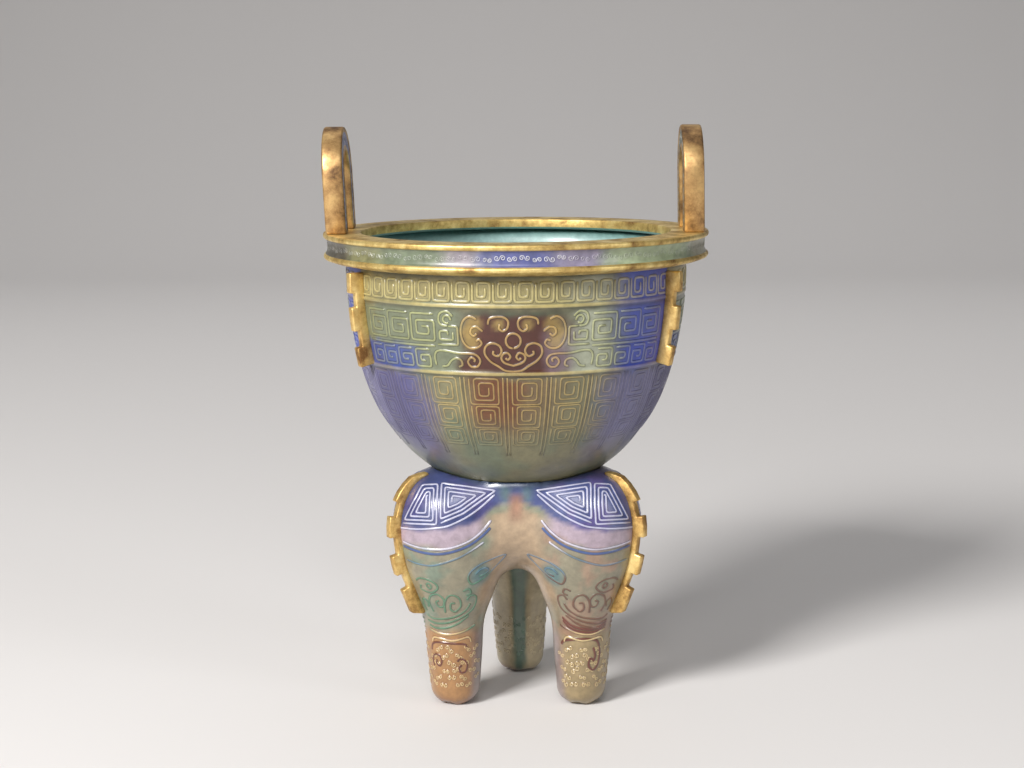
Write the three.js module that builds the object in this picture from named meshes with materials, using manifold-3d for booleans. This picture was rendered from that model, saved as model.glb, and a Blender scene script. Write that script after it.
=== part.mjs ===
// Archaistic yan: a deep steamer bowl on a lobed tripod, in painted enamel on copper with gilt mounts.
// Millimetres, +Z up. The origin is on the floor under the bowl's axis, and the front is -Y.
import * as THREE from "three";
import { mergeVertices } from "three/addons/utils/BufferGeometryUtils.js";
import Module from "manifold-3d";

// Driving dimensions of the whole vessel
const rimHeight = 164.6;
const waistHeight = 81;
const waistRadius = 28;
const mouthRadius = 58.6;
const sheet = 2.2;
const solderGap = 0.3;

// Rim collar: a cast ring with a flat top, two rounded lips and a hollowed band between them
const collarProud = 7.7;
const collarLip = 5.1;
const collarRadius = mouthRadius + collarProud;
const collarInnerRadius = mouthRadius - collarLip;
const collarHeight = 9;
const collarPlate = 3.7;
const upperLipHeight = 1.9;
const lowerLipHeight = 2.1;
const bandDepth = 1.5;
const bandEase = 0.5;
const lipEase = 0.4;
const lowerLipFoot = 1.2;
const lowerLipSetBack = 0.1;
const lowerLipFrom = 0.6;
const lowerLipTo = 1.4;
const collarUndercut = 1.6;

// Bowl: line beads round the wall, and the rounded floor below the waist
const beadHeight = 1.5;
const beadProud = 0.35;
const upperBeadBelowRim = 20.2;
const lowerBeadBelowRim = 42.4;
const floorDrop = 4.5;
const floorRoundness = 2.4;
const floorInnerShare = 0.92;

// Tripod: three lobes that run down into round legs
const legReach = 25.4;
const legRadius = 8.6;
const legTaper = 0.055;
const footRound = 6;
const footFlatRadius = 4.6;
const lobeReach = 26;
const lobeHalfWidth = 20.4;
const lobeHeight = 64;
const calfHeight = 30;
const neckRise = 2.4;
const shoulderHeight = waistHeight + neckRise;
const shoulderRound = 5;
const bellyRadius = 30;
const bellyHeight = 66;
const bellyDrop = 20;
const lobeBlend = 7;
const bellyFlatness = 0.8;
const legHollowFrom = 12;
const legHollowBlend = 1;
const calfSwell = 0.4;

// Loop handles standing on the rim
const handleHeight = 35.4;
const handleWidth = 34;
const handleBand = 8;
const handleThickness = 7;
const handleSetOut = 0.5;
const handleCentreRadius = (collarRadius + collarInnerRadius) / 2 + handleSetOut;
const leftHandleLean = 2.6;
const rightHandleLean = -0.7;

// Toothed flanges on the bowl and down the lobes
const flangeThickness = 3.1;
const bowlToothProud = 5;
const bowlNotchProud = 3;
const legToothProud = 4.3;
const legNotchProud = 1.9;
const legRootProud = 0.8;
const legTopProud = 2.6;
const legShoulderProud = 3.6;

// Each flange's top below the rim or the shoulder, its length, and its steps as shares of that length
const bowlFlangeTop = 11.6;
const bowlFlangeLength = 30.6;
const bowlFlangeSteps = [
  [0, 0.216, bowlToothProud],
  [0.216, 0.359, bowlNotchProud],
  [0.359, 0.614, bowlToothProud],
  [0.614, 0.791, bowlNotchProud],
  [0.791, 1, bowlToothProud],
];
const legFlangeTop = 1;
const legFlangeLength = 48.4;
const legFlangeSteps = [
  [0, 0.05, legRootProud, legTopProud],
  [0.05, 0.192, legTopProud, legShoulderProud],
  [0.192, 0.287, legNotchProud, legNotchProud],
  [0.287, 0.419, legToothProud, legToothProud],
  [0.419, 0.545, legNotchProud, legNotchProud],
  [0.545, 0.68, legToothProud, legToothProud],
  [0.68, 0.783, legNotchProud, legNotchProud],
  [0.783, 0.955, legToothProud, legToothProud],
  [0.955, 1, legToothProud, legRootProud],
];
const lobeLineTop = 70;
const lobeLineBottom = -75;

// Fineness of the faceted surfaces
const turnSides = 48;
const tripodCell = 5;
const hollowCell = 6;
const bowlFlangeSpacing = 4;
const legFlangeSpacing = 3;
const handleArcSides = 14;
const lineFine = 400;
const slopeReach = 0.05;
const leastSlope = 0.3;
const settleRounds = 3;
const settleShare = 0.8;
const tiny = 1e-4;

const wasm = await Module();
wasm.setup();

const colours = {
  gilt: 0xc9a25a,
  bowlEnamel: 0x8f8a5e,
  legEnamel: 0x7f7f96,
};

function giltMaterial() {
  return new THREE.MeshStandardMaterial({ color: colours.gilt, roughness: 0.35, metalness: 1 });
}

function enamelMaterial(colour) {
  return new THREE.MeshStandardMaterial({ color: colour, roughness: 0.25, metalness: 0 });
}

function plainGeometry(geometry) {
  const bare = geometry.clone();
  bare.deleteAttribute("normal");
  bare.deleteAttribute("uv");
  return mergeVertices(bare, tiny);
}

function solid(geometry) {
  const merged = plainGeometry(geometry);
  return new wasm.Manifold(
    new wasm.Mesh({
      numProp: 3,
      vertProperties: new Float32Array(merged.attributes.position.array),
      triVerts: new Uint32Array(merged.index.array),
    }),
  );
}

function geometryOf(manifold) {
  const mesh = manifold.getMesh();
  const geometry = new THREE.BufferGeometry();
  geometry.setAttribute("position", new THREE.BufferAttribute(new Float32Array(mesh.vertProperties), 3));
  geometry.setIndex(new THREE.BufferAttribute(new Uint32Array(mesh.triVerts), 1));
  return geometry;
}

function namedMesh(name, geometry, material) {
  const mesh = new THREE.Mesh(geometry, material);
  mesh.name = name;
  return mesh;
}

// A lathe turned to stand on +Z. The profile goes up the outside and comes back down the inside.
function turned(profile) {
  const points = profile.map(([radius, height]) => new THREE.Vector2(radius, height));
  const geometry = new THREE.LatheGeometry(points, turnSides);
  geometry.rotateX(Math.PI / 2);
  return geometry;
}

// Outer radius of the bowl wall, as shares of its height above the waist and of its mouth
const wallShares = [
  [0, waistRadius / mouthRadius],
  [0.1, 0.63],
  [0.2, 0.735],
  [0.32, 0.832],
  [0.48, 0.91],
  [0.68, 0.967],
  [0.86, 0.995],
  [1, 1],
];
const wallTop = rimHeight - collarPlate - solderGap;
const wallStraightFrom = rimHeight - collarHeight - collarUndercut;
const wallCurve = new THREE.SplineCurve(
  wallShares.map(([height, radius]) => new THREE.Vector2(
    radius * mouthRadius,
    waistHeight + height * (wallStraightFrom - waistHeight),
  )),
);
const wallFine = 60;
const wallPath = wallCurve.getPoints(wallFine);

function bowlRadiusAt(height) {
  if (height >= wallStraightFrom) {
    return mouthRadius;
  }
  const above = Math.max(1, wallPath.findIndex((point) => point.y > height));
  const low = wallPath[above - 1];
  const high = wallPath[above];
  const share = (height - low.y) / (high.y - low.y);
  return low.x + share * (high.x - low.x);
}

// Slope of the wall, as the outward unit normal in the profile's plane
function bowlNormalAt(height) {
  const reach = 0.5;
  const rise = bowlRadiusAt(height + reach) - bowlRadiusAt(height - reach);
  return new THREE.Vector2(2 * reach, -rise).normalize();
}

const wallRows = 9;
const wallRowCrowding = 1.25;
function wallHeights() {
  const heights = [];
  for (let row = 0; row <= wallRows; row += 1) {
    const share = row / wallRows;
    heights.push(waistHeight + (wallStraightFrom - waistHeight) * share ** wallRowCrowding);
  }
  return heights;
}

function beadRows() {
  const rows = [];
  for (const below of [lowerBeadBelowRim, upperBeadBelowRim]) {
    const centre = rimHeight - below;
    rows.push([centre - beadHeight / 2, 0], [centre, beadProud], [centre + beadHeight / 2, 0]);
  }
  return rows;
}

// Rounded underside of the bowl, from the axis out to the waist
const floorRows = 3;
function bowlUnderside(spread) {
  const points = [[0, waistHeight - floorDrop - spread]];
  for (let row = 1; row <= floorRows; row += 1) {
    const share = row / (floorRows + 1);
    const drop = floorDrop * (1 - share ** floorRoundness) + spread;
    points.push([share * waistRadius, waistHeight - drop]);
  }
  return points;
}

function bowlOutside(spread, withBeads) {
  const beads = withBeads ? beadRows() : [];
  const plain = wallHeights()
    .filter((height) => !beads.some(([at]) => Math.abs(at - height) < beadHeight / 2))
    .map((height) => [height, 0]);
  const rows = [...plain, ...beads].sort((first, second) => first[0] - second[0]);
  return rows.map(([height, proud]) => {
    const normal = bowlNormalAt(height);
    const out = proud + spread;
    return [bowlRadiusAt(height) + normal.x * out, height + normal.y * out];
  });
}

function steamerBowl() {
  const inner = wallHeights()
    .filter((height, row) => row % 2 === 1)
    .map((height) => {
      const normal = bowlNormalAt(height);
      return [bowlRadiusAt(height) - normal.x * sheet, height - normal.y * sheet];
    })
    .reverse();
  const floor = bowlUnderside(0)
    .slice(0, -1)
    .map(([radius, height]) => [radius * floorInnerShare, height + sheet])
    .reverse();
  const profile = [
    ...bowlUnderside(0),
    ...bowlOutside(0, true),
    [mouthRadius, wallTop],
    [mouthRadius - sheet, wallTop],
    ...inner,
    ...floor,
  ];
  return turned(profile);
}

function rimCollar() {
  const top = rimHeight;
  const bottom = rimHeight - collarHeight;
  const lip = collarRadius;
  const band = collarRadius - bandDepth;
  const skirtInner = mouthRadius + solderGap;
  const bandTop = top - upperLipHeight;
  const bandBottom = bottom + lowerLipHeight;
  const profile = [
    [collarInnerRadius, top - collarPlate],
    [skirtInner, top - collarPlate],
    [skirtInner, bottom - collarUndercut + solderGap],
    [lip - lowerLipFoot, bottom],
    [lip - lowerLipSetBack, bottom + lowerLipFrom],
    [lip - lowerLipSetBack, bottom + lowerLipTo],
    [band + bandEase, bandBottom],
    [band, (bandTop + bandBottom) / 2],
    [band + bandEase, bandTop],
    [lip, bandTop + lipEase],
    [lip, top - lipEase],
    [lip - lipEase, top],
    [collarInnerRadius, top],
    [collarInnerRadius, top - collarPlate],
  ];
  return turned(profile);
}

// Smooth value through a few [height, value] pairs
function smoothThrough(pairs) {
  const curve = new THREE.SplineCurve(pairs.map(([height, value]) => new THREE.Vector2(height, value)));
  const path = curve.getPoints(pairs.length * 8);
  return (height) => {
    if (height <= path[0].x) {
      return path[0].y;
    }
    const above = path.findIndex((point) => point.x > height);
    if (above < 1) {
      return path[path.length - 1].y;
    }
    const low = path[above - 1];
    const high = path[above];
    return low.y + ((height - low.x) / (high.x - low.x)) * (high.y - low.y);
  };
}

const calfHalfWidth = legRadius + legTaper * calfHeight + calfSwell;
const shinHeight = (footRound + calfHeight) / 2;
const lobeSpan = lobeHeight - calfHeight;
const shoulderSpan = shoulderHeight - lobeHeight;
const overShoulder = shoulderHeight + 0.1 * shoulderSpan;
const lobeWidthAt = smoothThrough([
  [footRound, legRadius],
  [shinHeight, legRadius + legTaper * shinHeight],
  [calfHeight, calfHalfWidth],
  [calfHeight + lobeSpan * 0.3, calfHalfWidth + (lobeHalfWidth - calfHalfWidth) * 0.38],
  [calfHeight + lobeSpan * 0.62, calfHalfWidth + (lobeHalfWidth - calfHalfWidth) * 0.8],
  [lobeHeight, lobeHalfWidth],
  [lobeHeight + shoulderSpan * 0.49, lobeHalfWidth * 0.93],
  [lobeHeight + shoulderSpan * 0.8, lobeHalfWidth * 0.76],
  [lobeHeight + shoulderSpan * 0.954, lobeHalfWidth * 0.56],
  [overShoulder, lobeHalfWidth * 0.3],
]);
const reachAt = smoothThrough([
  [0, legReach],
  [calfHeight, (legReach + lobeReach) / 2],
  [lobeHeight, lobeReach],
  [overShoulder, lobeReach * 0.96],
]);

// The foot's round end would close a little below the floor, so that the floor cuts a flat on it
const footSink = footRound * (1 / Math.sqrt(1 - (footFlatRadius / legRadius) ** 2) - 1);
function halfWidthAt(height) {
  if (height >= footRound) {
    return lobeWidthAt(height);
  }
  const share = Math.min(0.999, (footRound - height) / (footRound + footSink));
  return Math.max(0.5, lobeWidthAt(footRound) * Math.sqrt(1 - share ** 2));
}

function smoothMin(first, second, blend) {
  const overlap = Math.max(blend - Math.abs(first - second), 0) / blend;
  return Math.min(first, second) - (overlap * overlap * blend) / 4;
}

const legAngles = [-60, 60, 180].map((degrees) => THREE.MathUtils.degToRad(degrees));

function outwards(angle) {
  return new THREE.Vector2(Math.sin(angle), -Math.cos(angle));
}

// Negative inside the tripod: three lobed legs, melted into a round belly, under a flat shoulder
function tripodLevel(x, y, z) {
  const halfWidth = halfWidthAt(z);
  const reach = reachAt(z);
  const below = (Math.min(0, z - bellyHeight) * bellyRadius) / bellyDrop;
  let level = (Math.hypot(x, y, below) - bellyRadius) * bellyFlatness;
  for (const angle of legAngles) {
    const away = outwards(angle);
    const along = x * away.x + y * away.y - reach;
    const across = x * away.y - y * away.x;
    level = smoothMin(level, Math.hypot(along, across) - halfWidth, lobeBlend);
  }
  level = Math.max(level, -footSink - z);
  return -smoothMin(-level, shoulderHeight - z, shoulderRound);
}

// How fast a level grows along each axis
function slopeOf(level, x, y, z) {
  return new THREE.Vector3(
    level(x + slopeReach, y, z) - level(x - slopeReach, y, z),
    level(x, y + slopeReach, z) - level(x, y - slopeReach, z),
    level(x, y, z + slopeReach) - level(x, y, z - slopeReach),
  ).divideScalar(2 * slopeReach);
}

// The level as a distance in millimetres
function tripodDistance(x, y, z) {
  return tripodLevel(x, y, z) / Math.max(slopeOf(tripodLevel, x, y, z).length(), leastSlope);
}

// A closed mesh round the negative part of a distance, one point in each grid cell that it crosses
function meshOfDistance(distance, low, high, cell) {
  const counts = [0, 1, 2].map((axis) => Math.ceil((high[axis] - low[axis]) / cell) + 1);
  const place = (axis, step) => low[axis] + step * cell;
  const values = new Map();
  const key = (i, j, k) => (i * counts[1] + j) * counts[2] + k;
  for (let i = 0; i < counts[0]; i += 1) {
    for (let j = 0; j < counts[1]; j += 1) {
      for (let k = 0; k < counts[2]; k += 1) {
        values.set(key(i, j, k), distance(place(0, i), place(1, j), place(2, k)) || tiny);
      }
    }
  }
  const corners = [0, 1, 2, 3, 4, 5, 6, 7].map((bits) => [bits & 1, (bits >> 1) & 1, (bits >> 2) & 1]);
  const points = [];
  const pointOf = new Map();
  const cellPoint = (i, j, k) => {
    const name = key(i, j, k);
    if (pointOf.has(name)) {
      return pointOf.get(name);
    }
    const sum = new THREE.Vector3();
    let crossings = 0;
    for (const [a, first] of corners.entries()) {
      for (const [b, second] of corners.entries()) {
        const steps = first.reduce((total, bit, axis) => total + Math.abs(bit - second[axis]), 0);
        if (b <= a || steps !== 1) {
          continue;
        }
        const here = values.get(key(i + first[0], j + first[1], k + first[2]));
        const there = values.get(key(i + second[0], j + second[1], k + second[2]));
        if (here > 0 === there > 0) {
          continue;
        }
        const share = here / (here - there);
        sum.x += place(0, i + first[0] + share * (second[0] - first[0]));
        sum.y += place(1, j + first[1] + share * (second[1] - first[1]));
        sum.z += place(2, k + first[2] + share * (second[2] - first[2]));
        crossings += 1;
      }
    }
    sum.divideScalar(crossings);
    for (let round = 0; round < settleRounds; round += 1) {
      settle(distance, sum);
    }
    pointOf.set(name, points.length / 3);
    points.push(sum.x, sum.y, sum.z);
    return pointOf.get(name);
  };
  const triangles = [];
  const quad = (cells, flipped) => {
    const [a, b, c, d] = cells.map((steps) => cellPoint(...steps));
    const order = flipped ? [a, d, c, b] : [a, b, c, d];
    triangles.push(order[0], order[1], order[2], order[0], order[2], order[3]);
  };
  for (let i = 1; i < counts[0] - 1; i += 1) {
    for (let j = 1; j < counts[1] - 1; j += 1) {
      for (let k = 1; k < counts[2] - 1; k += 1) {
        const inside = values.get(key(i, j, k)) < 0;
        if (inside !== values.get(key(i + 1, j, k)) < 0) {
          quad([[i, j - 1, k - 1], [i, j, k - 1], [i, j, k], [i, j - 1, k]], !inside);
        }
        if (inside !== values.get(key(i, j + 1, k)) < 0) {
          quad([[i - 1, j, k - 1], [i - 1, j, k], [i, j, k], [i, j, k - 1]], !inside);
        }
        if (inside !== values.get(key(i, j, k + 1)) < 0) {
          quad([[i - 1, j - 1, k], [i, j - 1, k], [i, j, k], [i - 1, j, k]], !inside);
        }
      }
    }
  }
  const geometry = new THREE.BufferGeometry();
  geometry.setAttribute("position", new THREE.BufferAttribute(new Float32Array(points), 3));
  geometry.setIndex(triangles);
  return geometry;
}

// One small move of a point towards the surface
function settle(distance, point) {
  const slope = slopeOf(distance, point.x, point.y, point.z);
  const steepness = Math.max(slope.lengthSq(), leastSlope);
  point.addScaledVector(slope, (-settleShare * distance(point.x, point.y, point.z)) / steepness);
}

function tripodBase() {
  const span = lobeReach + lobeHalfWidth + 2 * hollowCell;
  const low = [-span, -span, -2 * hollowCell];
  const high = [span, span, shoulderHeight + 2 * hollowCell];
  const outer = solid(meshOfDistance(tripodDistance, low, high, tripodCell));
  const hollow = (x, y, z) => {
    const withinSheet = -(tripodDistance(x, y, z) + sheet);
    return -smoothMin(withinSheet, z - legHollowFrom, legHollowBlend);
  };
  const inner = solid(meshOfDistance(hollow, low, high, hollowCell));
  const floorBlock = new THREE.BoxGeometry(4 * span, 4 * span, span);
  floorBlock.translate(0, 0, -span / 2);
  const seat = solid(turned([
    ...bowlUnderside(solderGap),
    ...bowlOutside(solderGap, false),
    [0, wallStraightFrom],
  ]));
  const well = new THREE.CylinderGeometry(1, 1, 1, turnSides);
  const wellRadius = waistRadius - sheet;
  well.rotateX(Math.PI / 2);
  well.scale(wellRadius, wellRadius, 2 * sheet + floorDrop);
  well.translate(0, 0, waistHeight - floorDrop / 2);
  return geometryOf(outer.subtract(inner).subtract(solid(floorBlock)).subtract(seat).subtract(solid(well)));
}

// Share of a downward line's length at which it first reaches a height
function shareAtHeight(curve, height) {
  let step = 0;
  while (step < lineFine && curve.getPointAt(step / lineFine).y > height) {
    step += 1;
  }
  return step / lineFine;
}

// Spots at equal steps along part of a downward line, each with its outward normal
function spotsAlong(curve, fromHeight, toHeight, spacing) {
  const from = shareAtHeight(curve, fromHeight);
  const to = shareAtHeight(curve, toHeight);
  const rows = Math.max(1, Math.round(((to - from) * curve.getLength()) / spacing));
  const spots = [];
  for (let row = 0; row <= rows; row += 1) {
    const share = row === rows ? to : from + ((to - from) * row) / rows;
    const tangent = curve.getTangentAt(share);
    spots.push({ point: curve.getPointAt(share), normal: new THREE.Vector2(-tangent.y, tangent.x) });
  }
  return spots;
}

// A plate between a line's gap and stepped teeth, drawn in the upright plane through the axis
function toothedPlate(line, steps, gap, spacing, angle) {
  const curve = new THREE.SplineCurve(line);
  const inner = [];
  const outer = [];
  const addMoved = (points, { point, normal }, distance) => {
    const next = point.clone().addScaledVector(normal, distance);
    const last = points[points.length - 1];
    if (!last || last.distanceTo(next) > 10 * tiny) {
      points.push(next);
    }
  };
  steps.forEach(([from, to, proudFrom, proudTo], index) => {
    const spots = spotsAlong(curve, from, to, spacing);
    const rows = spots.length - 1;
    spots.forEach((spot, row) => {
      addMoved(outer, spot, proudFrom + ((proudTo - proudFrom) * row) / rows);
      if (row < rows || index === steps.length - 1) {
        addMoved(inner, spot, gap);
      }
    });
  });
  const outline = new THREE.Shape([...outer.reverse(), ...inner]);
  const plate = new THREE.ExtrudeGeometry(outline, { depth: flangeThickness, bevelEnabled: false });
  plate.translate(0, 0, -flangeThickness / 2);
  plate.rotateX(Math.PI / 2);
  plate.rotateZ(angle - Math.PI / 2);
  return plate;
}

function bowlFlange(angle) {
  const line = [];
  for (let row = 0; row <= wallFine; row += 1) {
    const height = wallStraightFrom - (row / wallFine) * (wallStraightFrom - waistHeight);
    line.push(new THREE.Vector2(bowlRadiusAt(height), height));
  }
  const top = rimHeight - bowlFlangeTop;
  const steps = bowlFlangeSteps.map(([from, to, proud]) => [
    top - from * bowlFlangeLength,
    top - to * bowlFlangeLength,
    proud,
    proud,
  ]);
  return toothedPlate(line, steps, beadProud + solderGap, bowlFlangeSpacing, angle);
}

// The lobe's outer line in its own upright plane, found by halving along rays from the lobe's middle
function lobeLine() {
  const points = [];
  const away = outwards(legAngles[0]);
  for (let degrees = lobeLineTop; degrees >= lobeLineBottom; degrees -= 1) {
    const ray = THREE.MathUtils.degToRad(degrees);
    let near = 0;
    let far = 2 * (lobeHalfWidth + lobeHeight);
    for (let round = 0; round < 30; round += 1) {
      const middle = (near + far) / 2;
      const radius = lobeReach + middle * Math.cos(ray);
      const level = tripodLevel(away.x * radius, away.y * radius, lobeHeight + middle * Math.sin(ray));
      if (level < 0) {
        near = middle;
      } else {
        far = middle;
      }
    }
    points.push(new THREE.Vector2(lobeReach + near * Math.cos(ray), lobeHeight + near * Math.sin(ray)));
  }
  return points;
}

function legFlange(angle) {
  const top = shoulderHeight - legFlangeTop;
  const steps = legFlangeSteps.map(([from, to, proudFrom, proudTo]) => [
    top - from * legFlangeLength,
    top - to * legFlangeLength,
    proudFrom,
    proudTo,
  ]);
  return toothedPlate(lobeLine(), steps, solderGap, legFlangeSpacing, angle);
}

// Upside-down U with a round top, standing on the rim and leaning by a few degrees
function loopHandle(side, lean) {
  const half = handleWidth / 2;
  const inside = half - handleBand;
  const springing = handleHeight - half;
  const outline = new THREE.Shape();
  outline.moveTo(-half, 0);
  outline.lineTo(-inside, 0);
  outline.lineTo(-inside, springing);
  outline.absarc(0, springing, inside, Math.PI, 0, true);
  outline.lineTo(inside, 0);
  outline.lineTo(half, 0);
  outline.lineTo(half, springing);
  outline.absarc(0, springing, half, 0, Math.PI, false);
  outline.lineTo(-half, 0);
  const geometry = new THREE.ExtrudeGeometry(outline, {
    depth: handleThickness,
    bevelEnabled: false,
    curveSegments: handleArcSides,
  });
  geometry.translate(0, 0, -handleThickness / 2);
  geometry.rotateX(Math.PI / 2);
  geometry.rotateZ(Math.PI / 2);
  const shear = new THREE.Matrix4().makeShear(0, 0, 0, 0, Math.tan(THREE.MathUtils.degToRad(lean)), 0);
  geometry.applyMatrix4(shear);
  if (side < 0) geometry.rotateZ(Math.PI);
  return geometry;
}

const vessel = new THREE.Group();
vessel.add(namedMesh("steamer_bowl", steamerBowl(), enamelMaterial(colours.bowlEnamel)));
vessel.add(namedMesh("rim_collar", rimCollar(), giltMaterial()));
vessel.add(namedMesh("tripod_base", tripodBase(), enamelMaterial(colours.legEnamel)));

const handles = [
  ["handle_left", -1, leftHandleLean],
  ["handle_right", 1, rightHandleLean],
];
for (const [name, side, lean] of handles) {
  const handle = namedMesh(name, loopHandle(side, lean), giltMaterial());
  handle.position.set(side * handleCentreRadius, 0, rimHeight + solderGap);
  vessel.add(handle);
}

for (const [index, place] of ["front_left", "front_right", "back"].entries()) {
  vessel.add(namedMesh(`bowl_flange_${place}`, bowlFlange(legAngles[index]), giltMaterial()));
  vessel.add(namedMesh(`leg_flange_${place}`, legFlange(legAngles[index]), giltMaterial()));
}

export default vessel;
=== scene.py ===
import math

import bmesh
import bpy
import numpy as np
from mathutils import Matrix, Vector, noise


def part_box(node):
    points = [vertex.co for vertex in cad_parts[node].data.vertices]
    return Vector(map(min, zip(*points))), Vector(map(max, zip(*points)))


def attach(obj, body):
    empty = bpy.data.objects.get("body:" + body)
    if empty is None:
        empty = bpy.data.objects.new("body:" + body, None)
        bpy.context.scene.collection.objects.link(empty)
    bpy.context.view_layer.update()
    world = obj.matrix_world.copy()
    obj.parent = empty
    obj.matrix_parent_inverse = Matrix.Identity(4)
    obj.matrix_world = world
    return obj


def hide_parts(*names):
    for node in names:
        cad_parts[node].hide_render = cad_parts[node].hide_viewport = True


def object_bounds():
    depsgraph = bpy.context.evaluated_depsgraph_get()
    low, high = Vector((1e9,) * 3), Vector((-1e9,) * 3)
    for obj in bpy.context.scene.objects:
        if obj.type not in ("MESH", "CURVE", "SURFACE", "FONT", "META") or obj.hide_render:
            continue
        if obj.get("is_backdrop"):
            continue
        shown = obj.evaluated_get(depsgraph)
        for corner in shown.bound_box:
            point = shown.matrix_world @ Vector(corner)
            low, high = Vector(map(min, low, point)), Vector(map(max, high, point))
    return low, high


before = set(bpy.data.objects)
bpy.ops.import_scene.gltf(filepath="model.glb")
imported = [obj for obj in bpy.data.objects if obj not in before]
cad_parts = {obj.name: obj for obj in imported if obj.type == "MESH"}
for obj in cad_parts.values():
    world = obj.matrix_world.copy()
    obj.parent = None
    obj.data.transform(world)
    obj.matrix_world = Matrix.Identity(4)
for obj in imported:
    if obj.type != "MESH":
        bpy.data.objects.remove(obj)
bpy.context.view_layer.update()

mm = 0.001

# Camera. It stands 0.67 m in front of the vessel, a little above its rim, and looks
# slightly down, as a studio photograph of a table piece is taken.
camera_lens = bpy.data.cameras.new("photo_lens")
camera_lens.sensor_width = 36
camera_lens.lens = 68.17
camera = bpy.data.objects.new("photo_camera", camera_lens)
bpy.context.scene.collection.objects.link(camera)
camera_place = Matrix.Translation((0.01233, -0.6698, 0.2144))
camera_turn = Matrix.Rotation(math.radians(1.2), 4, "Z")
camera_tilt = Matrix.Rotation(math.radians(90 - 8.8), 4, "X")
camera_roll = Matrix.Rotation(-0.0075, 4, "Z")
camera.matrix_world = camera_place @ camera_turn @ camera_tilt @ camera_roll
bpy.context.scene.camera = camera
bpy.context.scene.view_settings.view_transform = "Standard"

# Studio. One sheet of pale grey paper lies under the vessel and sweeps up behind it, lit
# by soft lamps on the left, high in front, on the right and behind, in a dim grey room.
paper_front = -1.6
paper_bend = 1.5
paper_rise = 0.9
paper_top = 3.2
paper_half_width = 3.5
paper_steps = 16
paper_mesh = bmesh.new()
paper_line = [paper_mesh.verts.new((-paper_half_width, paper_front, 0))]
for step in range(paper_steps + 1):
    turn = math.radians(90) * step / paper_steps
    paper_line.append(paper_mesh.verts.new((
        -paper_half_width,
        paper_bend + paper_rise * math.sin(turn),
        paper_rise * (1 - math.cos(turn)),
    )))
paper_line.append(paper_mesh.verts.new((-paper_half_width, paper_bend + paper_rise, paper_top)))
paper_edges = [paper_mesh.edges.new(pair) for pair in zip(paper_line, paper_line[1:])]
paper_sweep = bmesh.ops.extrude_edge_only(paper_mesh, edges=paper_edges)
paper_moved = [part for part in paper_sweep["geom"] if isinstance(part, bmesh.types.BMVert)]
bmesh.ops.translate(paper_mesh, verts=paper_moved, vec=(2 * paper_half_width, 0, 0))
bmesh.ops.recalc_face_normals(paper_mesh, faces=paper_mesh.faces)
for face in paper_mesh.faces:
    face.smooth = True
paper_data = bpy.data.meshes.new("backdrop_paper")
paper_mesh.to_mesh(paper_data)
paper_mesh.free()
paper = bpy.data.objects.new("backdrop_paper", paper_data)
bpy.context.scene.collection.objects.link(paper)
paper_finish = bpy.data.materials.new("backdrop_paper")
paper_finish.use_nodes = True
paper_shader = paper_finish.node_tree.nodes["Principled BSDF"]
paper_shader.inputs["Base Color"].default_value = (0.72, 0.7, 0.69, 1)
paper_shader.inputs["Roughness"].default_value = 0.9
paper_data.materials.append(paper_finish)
paper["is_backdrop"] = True


def soft_lamp(name, place, aim, size, power, tint):
    lamp_data = bpy.data.lights.new(name, "AREA")
    lamp_data.shape = "RECTANGLE"
    lamp_data.size, lamp_data.size_y = size
    lamp_data.energy = power
    lamp_data.color = tint
    lamp = bpy.data.objects.new(name, lamp_data)
    bpy.context.scene.collection.objects.link(lamp)
    lamp.location = place
    lamp.rotation_euler = (Vector(aim) - Vector(place)).to_track_quat("-Z", "Y").to_euler()
    return lamp_data


soft_lamp("key_lamp", (-0.86, -1.12, 0.95), (0, 0, 0.08), (0.45, 0.45), 38, (1, 0.985, 0.965))
soft_lamp("front_lamp", (-0.02, -0.97, 0.88), (0, 0, 0.07), (0.34, 0.34), 3.2, (1, 0.99, 0.98))
soft_lamp("fill_lamp", (1.3, -0.8, 0.5), (0, 0, 0.1), (0.4, 1.0), 4.2, (0.97, 0.98, 1))
backdrop_lamp = soft_lamp("backdrop_lamp", (0, 1.0, 1.9), (0, 1.15, 0), (2.4, 1.2), 5.5, (1, 1, 1))
backdrop_lamp.spread = math.radians(96)
room = bpy.data.worlds.new("grey_room")
room.use_nodes = True
room.node_tree.nodes["Background"].inputs["Color"].default_value = (0.9, 0.9, 0.92, 1)
room.node_tree.nodes["Background"].inputs["Strength"].default_value = 0.08
bpy.context.scene.world = room

# Steamer bowl. Raised in copper sheet about 2 mm thick, with a rounded floor that sits
# in the tripod's neck, then enamelled outside in clouded colours and inside in turquoise.
rim_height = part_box("rim_collar")[1].z / mm
waist_height = 81.0
waist_radius = 28.0
mouth_radius = 58.6
sheet = 2.2
wall_straight_from = 154.0
wall_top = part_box("steamer_bowl")[1].z / mm
floor_drop = 4.5
bead_rise = 0.35
bead_half = 0.75
upper_bead = rim_height - 20.2
lower_bead = rim_height - 42.4
bowl_turns = 288
wall_shares = [
    (0, waist_radius / mouth_radius), (0.1, 0.63), (0.2, 0.735), (0.32, 0.832),
    (0.48, 0.91), (0.68, 0.967), (0.86, 0.995), (1, 1),
]


def spline_through(points, steps):
    """A smooth line through a few points, with equal numbers of steps between them."""
    points = np.array(points, float)
    ends = np.vstack([points[:1], points, points[-1:]])
    line = []
    for index in range(len(points) - 1):
        before, first, second, after = ends[index:index + 4]
        leave = (second - before) / 2
        arrive = (after - first) / 2
        for step in range(steps):
            t = step / steps
            line.append(
                (2 * t**3 - 3 * t**2 + 1) * first + (t**3 - 2 * t**2 + t) * leave
                + (3 * t**2 - 2 * t**3) * second + (t**3 - t**2) * arrive
            )
    line.append(points[-1])
    return np.array(line)


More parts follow.
